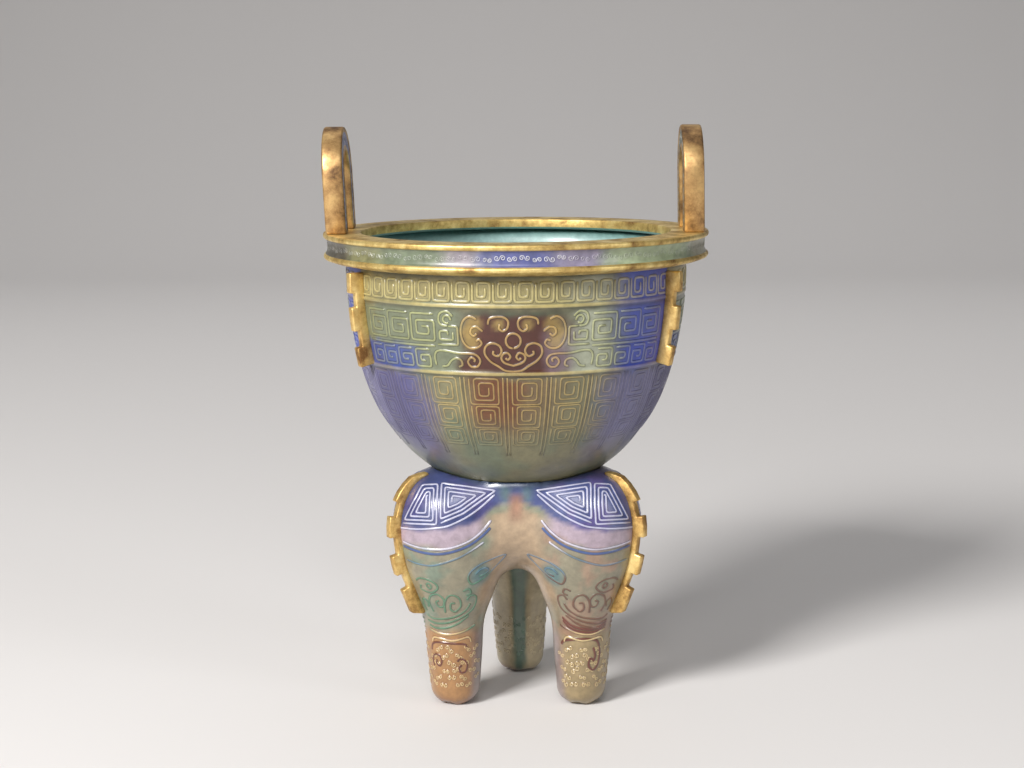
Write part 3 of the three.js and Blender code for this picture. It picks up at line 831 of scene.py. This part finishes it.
# Tripod base. Cast hollow as three rounded lobes that run down into plain legs, open in
# the neck where the bowl is soldered in, and enamelled violet blue over olive and tan.
leg_reach = 25.4
leg_radius = 8.6
leg_taper = 0.055
foot_round = 6.0
foot_flat_radius = 4.6
lobe_reach = 26.0
lobe_half_width = 20.4
lobe_height = 64.0
calf_height = 30.0
shoulder_height = waist_height + 2.4
shoulder_round = 5.0
belly_radius = 30.0
belly_height = 66.0
belly_drop = 20.0
lobe_blend = 7.0
belly_flatness = 0.8
calf_half_width = leg_radius + leg_taper * calf_height + 0.4
lobe_span = lobe_height - calf_height
shoulder_span = shoulder_height - lobe_height
over_shoulder = shoulder_height + 0.1 * shoulder_span
foot_sink = foot_round * (1 / math.sqrt(1 - (foot_flat_radius / leg_radius) ** 2) - 1)
width_line = spline_through([
    (foot_round, leg_radius),
    (18, leg_radius + leg_taper * 18),
    (calf_height, calf_half_width),
    (calf_height + lobe_span * 0.3, calf_half_width + (lobe_half_width - calf_half_width) * 0.38),
    (calf_height + lobe_span * 0.62, calf_half_width + (lobe_half_width - calf_half_width) * 0.8),
    (lobe_height, lobe_half_width),
    (lobe_height + shoulder_span * 0.49, lobe_half_width * 0.93),
    (lobe_height + shoulder_span * 0.8, lobe_half_width * 0.76),
    (lobe_height + shoulder_span * 0.954, lobe_half_width * 0.56),
    (over_shoulder, lobe_half_width * 0.3),
], 9)
reach_line = spline_through([
    (0, leg_reach), (calf_height, (leg_reach + lobe_reach) / 2), (lobe_height, lobe_reach),
    (over_shoulder, lobe_reach * 0.96),
], 8)
leg_angles = {"front_left": -60, "front_right": 60, "back": 180}


def heading(degrees):
    """The level direction at an angle from the front, towards the right-hand handle."""
    turn = math.radians(degrees)
    return np.array([math.sin(turn), -math.cos(turn), 0.0])


def smooth_min(first, second, blend):
    overlap = np.maximum(blend - np.abs(first - second), 0) / blend
    return np.minimum(first, second) - overlap * overlap * blend / 4


def leg_half_width(height):
    share = np.clip((foot_round - height) / (foot_round + foot_sink), 0, 0.999)
    return np.interp(height, width_line[:, 0], width_line[:, 1]) * np.sqrt(1 - share**2)


def tripod_level(points):
    """Below zero inside the tripod and above it outside, for points in millimetres."""
    x, y, z = points[..., 0], points[..., 1], points[..., 2]
    half_width = leg_half_width(z)
    reach = np.interp(z, reach_line[:, 0], reach_line[:, 1])
    below = np.minimum(0, z - belly_height) * belly_radius / belly_drop
    level = (np.sqrt(x**2 + y**2 + below**2) - belly_radius) * belly_flatness
    for angle in leg_angles.values():
        away_x, away_y, _ = heading(angle)
        along = x * away_x + y * away_y - reach
        across = x * away_y - y * away_x
        level = smooth_min(level, np.hypot(along, across) - half_width, lobe_blend)
    level = np.maximum(level, -foot_sink - z)
    return -smooth_min(-level, shoulder_height - z, shoulder_round)


def tripod_slope(points):
    reach = 0.05
    slopes = []
    for axis in range(3):
        shift = np.zeros(3)
        shift[axis] = reach
        slopes.append((tripod_level(points + shift) - tripod_level(points - shift)) / (2 * reach))
    return np.stack(slopes, axis=-1)


def settled(points):
    """The points moved on to the tripod's outside."""
    for _ in range(5):
        slope = tripod_slope(points)
        steep = np.maximum(np.sum(slope**2, axis=-1), 0.2)
        points = points - slope * (0.9 * tripod_level(points) / steep)[..., None]
    return points


def lobe_frame(points):
    """For each point: degrees round its own lobe from the lobe's flange, and its height."""
    azimuth = np.degrees(azimuth_of(points))
    nearest = np.round((azimuth - 60) / 120) * 120 + 60
    turn = np.radians(nearest)
    centre_x, centre_y = lobe_reach * np.sin(turn), -lobe_reach * np.cos(turn)
    own = np.degrees(np.arctan2(points[:, 0] - centre_x, -(points[:, 1] - centre_y)))
    return (own - nearest + 180) % 360 - 180, nearest


def lobe_spot(angle, turn, height, radius):
    """A point at a radius from a lobe's own axis, turned round it from its flange."""
    return lobe_reach * heading(angle) + radius * heading(angle + turn) + (0, 0, height)


def tripod_glaze(points):
    turn, nearest = lobe_frame(points)
    side = np.abs(turn)
    height = points[:, 2] + 1.5 * clouds(points, 10, 11)
    lift = 7.6 * np.clip((side - 55) / 50, 0, 1.2) ** 1.3
    left, back = nearest < 0, np.abs(nearest) > 170
    mauve = soft_step(height - lift, 58, 61) * (1 - soft_step(side, 84, 102))
    violet = soft_step(height - lift, 64.5, 67)
    crease = soft_step(side, 92, 106) * soft_step(height, 30, 42) * (1 - violet)
    under_neck = 1 - soft_step(height, 76, 79)
    cleft = soft_step(side, 108, 112.5) * soft_step(height, 66, 73)
    rim = soft_step(height - lift, 62.5, 64.5) * (1 - violet) * soft_step(side, 92, 102)
    crown = soft_step(side, 104, 109) * soft_step(height, 73, 77)
    # Painted shade: dark blue on the tripod's top round the neck, under the bowl.
    neck_shade = 1 - soft_step(np.hypot(points[:, 0], points[:, 1]), 29, 33)
    layers = [
        ((112, 124, 108), left * soft_step(clouds(points, 9, 12), 0, 0.5)),
        ((148, 124, 104), ~left * soft_step(clouds(points, 9, 15), -0.1, 0.4)),
        ((160, 144, 156), mauve),
        ((66, 76, 122), violet),
        ((82, 74, 126), violet * soft_step(clouds(points, 8, 13), 0, 0.4)),
        # Painted shade: the violet is darker on the tripod's left side.
        ((50, 58, 100), 0.6 * violet * left),
        ((160, 138, 112), crease * under_neck),
        ((84, 118, 104), 0.6 * np.maximum(rim, crown) * (1 - cleft)),
        ((146, 104, 84), 0.8 * cleft * under_neck),
        ((50, 62, 84), neck_shade * soft_step(height, 78, 81)),
    ]
    for angle in leg_angles.values():
        for way in (-1, 1):
            leaf = near_spot(points, lobe_spot(angle, way * 96, 49.8, 16.0), 6.2)
            tip = near_spot(points, lobe_spot(angle, way * 110, 53.6, 16.5), 3.6)
            layers += [((72, 114, 120), 0.8 * leaf), ((72, 114, 120), 0.6 * tip)]
    leg = 1 - soft_step(height, 26, 29.5)
    shin = leg * (1 - soft_step(side, 100, 130))
    cuff = soft_step(height, 26, 28) * (1 - soft_step(height, 30, 35)) * (1 - soft_step(side, 95, 120))
    # Painted light: the back leg's lower part is lightened to stand for light reaching it in its shade; the
    # green stripe down its middle is its own colour.
    back_leg_painted_light = back * (1 - soft_step(height, 46, 56))
    toe = 1 - soft_step(height, 0.5, 4)
    layers += [
        ((152, 112, 70), shin * left),
        ((140, 122, 88), shin * ~left),
        ((132, 114, 116), leg * soft_step(side, 95, 120) * 0.7),
        ((128, 84, 62), 0.6 * cuff * ~left),
        ((168, 154, 120), back_leg_painted_light * 0.9),
        ((78, 100, 84), back_leg_painted_light * soft_step(side, 163, 170)),
        ((112, 64, 40), 0.6 * toe * left),
    ]
    return glazed(enamel_tone(132, 126, 106), layers) * (1 + 0.14 * clouds(points, 4, 14))[:, None]


base_mesh = bmesh.new()
base_mesh.from_mesh(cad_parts["tripod_base"].data)
bmesh.ops.remove_doubles(base_mesh, verts=base_mesh.verts, dist=1e-3 * mm)
outer_mark = base_mesh.faces.layers.int.new("outer")
chord_error = 1.0
for face in base_mesh.faces:
    corners = np.array([vert.co for vert in face.verts]) / mm
    levels = tripod_level(np.vstack([corners, corners.mean(axis=0)]))
    flat_foot = abs(corners[:, 2]).max() < 0.01
    face[outer_mark] = int(np.abs(levels).max() < chord_error and not flat_foot)
outer_edges = list({edge for face in base_mesh.faces if face[outer_mark] for edge in face.edges})
bmesh.ops.subdivide_edges(base_mesh, edges=outer_edges, cuts=3, use_grid_fill=True)
skin_verts = [vert for vert in base_mesh.verts if all(face[outer_mark] for face in vert.link_faces)]
skin_places = settled(np.array([vert.co for vert in skin_verts]) / mm)
for vert, place in zip(skin_verts, skin_places):
    vert.co = place * mm
toe_verts = [vert for vert in base_mesh.verts if vert.co.z < 0.01 * mm]
for vert in toe_verts:
    if any(face[outer_mark] for face in vert.link_faces):
        axes = [Vector(lobe_spot(angle, 0, 0, leg_reach - lobe_reach)) * mm for angle in leg_angles.values()]
        axis = min(axes, key=lambda spot: (spot - vert.co).length)
        vert.co = axis + (vert.co - axis).normalized() * foot_flat_radius * mm
tripod_finish = enamel_finish("tripod_enamel", 0.8)
base = vessel_piece("tripod_base_enamelled", base_mesh, [tripod_finish])
paint(base, tripod_glaze(points_of(base)))
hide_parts("tripod_base")

# Lobe ornament. Wires laid on each lobe and leg: squared spirals beside the flange,
# pointed ones by the crease, sweeping lines, eyes, leaves, and scrolls down to the foot.
lobe_ball_height = 60.0
lobe_ball_radius = 20.0
lobe_wire = (0.36, 0.18)
nest_wire = (0.34, 0.18)
dark_wire = (0.5, 0.16)
left_leg_wire = (0.34, 0.16)
right_leg_wire = (0.48, 0.16)
curl_wire = (0.2, 0.13)
lobe_dark_curves = [[(6, -1.1), (34, -2.2), (54, -2.1), (76, 0.1), (90, 3.1), (98, 5.6)]]
lobe_curves = [
    [(6, 0.4), (34, -0.7), (54, -0.6), (76, 1.6), (90, 4.6), (99, 7.6)],
    [(8, -5.9), (30, -6.7), (45, -6.4), (67, -3.9), (82, -1.2), (93, 1.4)],
    [(15, -13.2), (22, -12), (33, -12.1), (42, -13.4), (44, -15.2), (36, -17), (26, -16.9), (19, -16),
     (22, -14.4)],
    [(29, -14.4), (33, -13.5), (36, -14.6), (33, -15.6), (29, -14.4)],
    [(114, -3.6), (104, -5.2), (92, -6.8), (82, -9.2), (80, -11.6), (85, -13.8), (93, -13.2), (103, -11.4),
     (111, -8.8), (114.5, -5.8), (114, -3.6)],
    [(88, -10.4), (93, -8.8), (100, -8.4), (104, -9.4), (99, -10.8), (93, -11.2)],
    [(82, -20.0), (87, -18.2), (96, -19.4), (95, -23.4), (81, -26.2), (57, -28.4), (30, -29.2), (8, -28.6)],
    [(88, -21.4), (82, -24.0), (66, -26.2), (45, -27.2), (22, -27.4), (12, -26.2)],
    [(90, -26.0), (72, -28.9), (50, -30.6), (26, -31.0), (10, -30.2)],
    [(30, -24.8), (26, -21.6), (31, -18.6), (42, -17.6), (50, -19.6), (48, -22.2), (41, -22.4), (38, -20.8),
     (43, -20.0)],
    [(50, -24.8), (51, -20.6), (59, -17.8), (70, -18.8), (74, -22.0), (66, -24.2), (59, -23.2), (60, -21.0),
     (66, -21.0)],
    [(16, -24.8), (13, -22.0), (18, -20.0), (24, -21.4), (21, -23.2)],
    [(75, -16.4), (82, -15.6), (86, -17.2), (80, -18.2)],
    [(10, -31.8), (45, -33.2), (80, -32.2), (108, -30.2)],
    [(14, -36.4), (22, -34.6), (60, -35.4), (92, -34.4), (100, -36.4)],
]
lobe_hooks = [
    [(-108, -37.4), (-98, -35.8), (-72, -34.9), (-46, -34.9), (-29, -36.0), (-22, -39.8), (-25, -44.0),
     (-36, -46.2), (-47, -44.6), (-44, -42.0), (-36, -42.8)],
    [(-38, -38.0), (-33, -41.0), (-38, -43.4)],
    [(-98, -27.0), (-84, -29.6), (-62, -31.0), (-36, -31.2), (-9, -29.2)],
    [(-98, -28.2), (-84, -30.8), (-62, -32.2), (-36, -32.4), (-9, -30.4)],
]
leg_spirals = [
    [(14, -45.2), (12, -42.4), (20, -40.8), (32, -41.2), (36, -43.2), (30, -44.8), (22, -44.0), (24, -42.6)],
    [(70, -43.0), (76, -42.0), (86, -42.8), (92, -44.6), (88, -46.8), (78, -47.0), (74, -45.4), (80, -44.4)],
    [(10, -39.6), (14, -37.2), (30, -36.2), (60, -36.4), (84, -36.8), (92, -38.2)],
]
curl_rows = 6
front_turn = 60
view_lift = math.radians(12.5)
ray_step = 0.5
nest_pitch = 1.25
edge_line = [
    (-17.6, 2.5), (-13.2, 2.1), (-8.8, 2.0), (-4.5, 2.3), (-0.7, 2.9), (3.7, 4.8), (7.5, 7.0),
    (11.2, 9.8), (15.4, 13.6),
]
nest_square = [(-16.2, 4.0), (-4.3, 3.5), (-4.0, 17.2), (-9.4, 17.0)]
nest_corner = [(-2.9, 4.0), (4.8, 7.2), (15.6, 14.9), (-2.7, 17.6)]
figure_edges = ((nest_square, 15), (nest_corner, 16))


def on_surface(starts, ways, near, far):
    """The spots between two reaches where rays leave the tripod, and its normals there."""
    for _ in range(14):
        middle = (near + far) / 2
        out = tripod_level(starts + ways * middle[:, None]) > 0
        far = np.where(out, middle, far)
        near = np.where(out, near, middle)
    spots = starts + ways * near[:, None]
    slope = tripod_slope(spots)
    return spots, slope / np.linalg.norm(slope, axis=1)[:, None]


def on_lobe(angle):
    """Lays lines on a lobe from degrees round it and millimetres up from its middle."""
    away, aside, up = heading(angle), heading(angle + 90), np.array([0, 0, 1])

    def lay(line):
        turn = np.radians(line[:, :1])
        rise = np.maximum(line[:, 1:2], 0) / lobe_ball_radius
        way = (np.cos(turn) * away + np.sin(turn) * aside) * np.cos(rise) + np.sin(rise) * up
        start = away * lobe_reach + (lobe_ball_height + np.minimum(line[:, 1:2], 0)) * up
        reaches = np.arange(4, 44, ray_step)
        tried = start[:, None, :] + way[:, None, :] * reaches[None, :, None]
        first = np.argmax(tripod_level(tried) > 0, axis=1)
        return on_surface(start, way, reaches[first] - ray_step, reaches[first])

    return lay


def faced_lobe(angle, way):
    """Lays lines on a lobe as seen square on from one side: millimetres across it and up it."""
    facing = angle + way * front_turn
    towards, across, up = heading(facing), heading(facing + 90) * way, np.array([0, 0, 1])
    sight = math.cos(view_lift) * towards + math.sin(view_lift) * up
    rise = math.cos(view_lift) * up - math.sin(view_lift) * towards
    centre = lobe_reach * heading(angle) + lobe_ball_height * up

    def lay(line):
        start = centre + line[:, :1] * across + line[:, 1:2] * rise
        reaches = np.arange(34, -6, -ray_step)
        tried = start[:, None, :] + sight * reaches[None, :, None]
        first = np.argmax(tripod_level(tried) < 0, axis=1)
        return on_surface(start, sight, reaches[first], reaches[first] + ray_step)

    return lay


def nest(corners, edges):
    """A line that winds inward from a figure's first corner, in step with its edges."""
    corners = np.array(corners, float)
    ways = np.roll(corners, -1, axis=0) - corners
    ways /= np.linalg.norm(ways, axis=1)[:, None]
    inward = np.stack([-ways[:, 1], ways[:, 0]], axis=1)
    count = len(corners)
    line = [corners[0]]
    for edge in range(1, edges + 1):
        first, second = (edge - 1) % count, edge % count
        start = corners[first] + inward[first] * nest_pitch * ((edge - 1) // count)
        other = corners[second] + inward[second] * nest_pitch * (edge // count)
        turn = np.array([ways[first], -ways[second]]).T
        along = np.linalg.solve(turn, other - start)
        line.append(start + ways[first] * along[0])
    return np.array(rounded(line, 0.7))


def lobe_cover(points):
    turn, _ = lobe_frame(points)
    return soft_step(points[:, 2], 57, 60) * (0.62 - 0.2 * soft_step(np.abs(turn), 95, 115))


def lobe_tones(points):
    _, nearest = lobe_frame(points)
    height = points[:, 2]
    left, back = nearest < 0, np.abs(nearest) > 170
    ground = tripod_glaze(points)
    cover = lobe_cover(points)
    middle = soft_step(height, 48, 51) * (1 - soft_step(height, 57, 60))
    calf = 0.8 * soft_step(height, 27, 29) * (1 - soft_step(height, 48, 51))
    leg = 1 - soft_step(height, 27, 29)
    crest = glazed(ground, [
        ((206, 206, 226), cover),
        ((72, 112, 140), 0.65 * middle),
        ((66, 120, 92), calf * left),
        ((96, 54, 38), calf * ~left),
        ((220, 196, 142), 0.5 * leg),
    ])
    edge = glazed(ground * 0.66, [((56, 64, 124), 0.5 * cover), ((104, 54, 38), 0.6 * leg)])
    # Lines on the back leg's lower part take their tones from its ground, which is painted lighter there.
    back_leg_painted_light = (back & (height < 50))[:, None]
    return np.where(back_leg_painted_light, ground * 1.4, crest), np.where(back_leg_painted_light, ground * 0.6, edge)


def dark_line_tones(points):
    upper = soft_step(points[:, 2], 46, 50)
    return glazed(enamel_tone(98, 50, 38), [((64, 84, 132), upper)]), tripod_glaze(points) * 0.62


def smooth(curves):
    return [finely(spline_through(curve, 6), 3.0) for curve in curves]


def both_sides(lines):
    return lines + [line * (-1, 1) for line in lines]


def leg_relief(name, lines, lay, tones, wire):
    relief(name, lines, lay, tones, wire, tripod_finish)


luck = np.random.default_rng(7)
for name, angle in leg_angles.items():
    lay = on_lobe(angle)
    leg_relief(f"leg_ornament_{name}", both_sides(smooth(lobe_curves)), lay, lobe_tones, lobe_wire)
    dark = both_sides(smooth(lobe_dark_curves))
    leg_relief(f"leg_dark_lines_{name}", dark, lay, dark_line_tones, dark_wire)
    if name == "front_left":
        leg_relief(f"leg_spirals_{name}", smooth(leg_spirals), lay, dark_line_tones, left_leg_wire)
    if name == "front_right":
        leg_relief(f"leg_spirals_{name}", smooth(lobe_hooks), lay, dark_line_tones, right_leg_wire)
    reach = 180 if name == "back" else 108
    curls = []
    for row in range(curl_rows):
        for column in np.arange(-reach, reach, 30):
            turn = column + 15 * (row % 2) + 5 * luck.uniform(-1, 1)
            height = -51.6 + 2.6 * row + 0.3 * luck.uniform(-1, 1)
            swing = luck.uniform(-0.8, 0.8)
            sine, cosine = math.sin(swing), math.cos(swing)
            swung = np.array([[cosine, sine], [-sine, cosine]])
            size = luck.uniform(0.85, 1.15)
            form = scroll_forms[luck.integers(len(scroll_forms))]
            curls.append(form @ swung * (6.2 * size, size) + (turn, height))
    leg_relief(f"leg_scrolls_{name}", curls, lay, lobe_tones, curl_wire)
    for side_name, way in (("front", 1), ("rear", -1)):
        figures = [finely(nest(corners, edges), 2.0) for corners, edges in figure_edges]
        figures.append(finely(spline_through(edge_line, 5), 2.0))
        nest_name = f"lobe_nests_{name}_{side_name}"
        leg_relief(nest_name, figures, faced_lobe(angle, way), lobe_tones, nest_wire)

# Toothed flanges. Cast strips of gilt metal soldered upright on the bowl and down each
# lobe, filed into square teeth with eased edges; they stand in line with the legs. Their
# inner edges are sunk a little into the enamelled piece that bears them.
flange_reach = 0.8 + bead_rise
flange_sink = 0.15
flange_ease = 0.45
strip_reach = 0.6
strip_sink = 0.2
strip_ease = 0.4


def cast_copy(node):
    """A merged copy of a plain cast piece, with flat faces joined up."""
    mesh = bmesh.new()
    mesh.from_mesh(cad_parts[node].data)
    bmesh.ops.remove_doubles(mesh, verts=mesh.verts, dist=1e-3 * mm)
    bmesh.ops.dissolve_limit(mesh, angle_limit=math.radians(1), verts=mesh.verts, edges=mesh.edges)
    return mesh


def ease_edges(mesh, width):
    sharp = [edge for edge in mesh.edges if edge.calc_face_angle(0) > math.radians(30)]
    bmesh.ops.bevel(
        mesh, geom=sharp, offset=width * mm, offset_type="OFFSET", segments=2,
        profile=0.5, affect="EDGES", material=-1, clamp_overlap=True,
    )


flange_gilt = gilt_finish("flange_gilt", (128, 90, 50), (208, 170, 102), (242, 212, 142))
for name in leg_angles:
    flange_mesh = cast_copy(f"bowl_flange_{name}")
    for vert in flange_mesh.verts:
        place = np.array(vert.co) / mm
        azimuth = math.atan2(place[0], -place[1])
        spot, normal = wall_spot(azimuth, place[2])
        away = float(np.dot(place - spot, normal))
        if away < flange_reach:
            vert.co = (place - normal * (away + flange_sink)) * mm
    ease_edges(flange_mesh, flange_ease)
    flange = vessel_piece(f"bowl_flange_{name}_gilt", flange_mesh, [flange_gilt])
    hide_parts(f"bowl_flange_{name}")
    strip_mesh = cast_copy(f"leg_flange_{name}")
    for vert in strip_mesh.verts:
        place = np.array(vert.co) / mm
        slope = tripod_slope(place[None])[0]
        away = float(tripod_level(place[None])[0] / np.linalg.norm(slope))
        if away < strip_reach:
            vert.co = (place - slope / np.linalg.norm(slope) * (away + strip_sink)) * mm
    ease_edges(strip_mesh, strip_ease)
    strip = vessel_piece(f"leg_flange_{name}_gilt", strip_mesh, [flange_gilt])
    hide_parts(f"leg_flange_{name}")

# Loop handles. Two cast hoops that stand upright on the rim, gilt on their edges, with
# their broad faces sunk a little and filled with enamel that bears a row of light scrolls.
handle_border = 1.1
handle_sink = 0.3
handle_ease = 0.7
handle_scroll_wire = (0.2, 0.13)
hoop_scroll_size = 0.95
hoop_scroll_step = 2.6
hoop_turns = np.radians(np.linspace(0, 180, 11))
handle_enamel = enamel_finish("handle_enamel")
handle_gilt = gilt_finish("handle_gilt", (100, 74, 50), (168, 132, 86), (208, 172, 116))


def hoop_scrolls(face):
    """Scrolls in a row along a hoop's broad face, and the way they are laid on its plane."""
    corners = np.array([vert.co for vert in face.verts]) / mm
    normal = np.array(face.normal)
    low, high = corners[:, 2].min(), corners[:, 2].max()
    feet = np.abs(corners[corners[:, 2] < low + 1][:, 1])
    half_span = (feet.min() + feet.max()) / 2
    crown = high - feet.max()
    levels = np.arange(low + 2, crown - 1, hoop_scroll_step)
    middles = [(way * half_span, level) for way in (-1, 1) for level in levels]
    middles += [(half_span * math.cos(turn), crown + half_span * math.sin(turn)) for turn in hoop_turns]
    lines = []
    for number, middle in enumerate(middles):
        lines.append(scroll_forms[number % len(scroll_forms)] * hoop_scroll_size + middle)

    def lay(line):
        spots = np.hstack([np.zeros((len(line), 1)), line])
        spots[:, 0] = (normal @ corners[0] - line @ normal[1:]) / normal[0]
        return spots, np.tile(normal, (len(line), 1))

    return lines, lay


def handle_glaze(tone):
    return lambda points: enamel_tone(*tone) * (1 + 0.2 * clouds(points, 4, 17))[:, None]


for name, tone in (("left", (88, 88, 140)), ("right", (70, 72, 52))):
    handle_mesh = cast_copy(f"handle_{name}")
    lowest = min(vert.co.z for vert in handle_mesh.verts)
    for vert in handle_mesh.verts:
        if vert.co.z < lowest + 0.1 * mm:
            vert.co.z = (rim_height - 0.1) * mm
    ease_edges(handle_mesh, handle_ease)
    broad = sorted(handle_mesh.faces, key=lambda face: -face.calc_area())[:2]
    bmesh.ops.inset_region(
        handle_mesh, faces=broad, thickness=handle_border * mm, depth=-handle_sink * mm,
        use_even_offset=True,
    )
    tones = line_tones(handle_glaze(tone), enamel_tone(206, 206, 204), even_cover(0.42))
    for number, face in enumerate(broad):
        face.material_index = 1
        lines, lay = hoop_scrolls(face)
        scrolls_name = f"handle_{name}_scrolls_{number}"
        relief(scrolls_name, lines, lay, tones, handle_scroll_wire, handle_enamel)
    handle = vessel_piece(f"handle_{name}_gilt", handle_mesh, [handle_gilt, handle_enamel])
    paint(handle, handle_glaze(tone)(points_of(handle)))
    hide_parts(f"handle_{name}")

low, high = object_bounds()
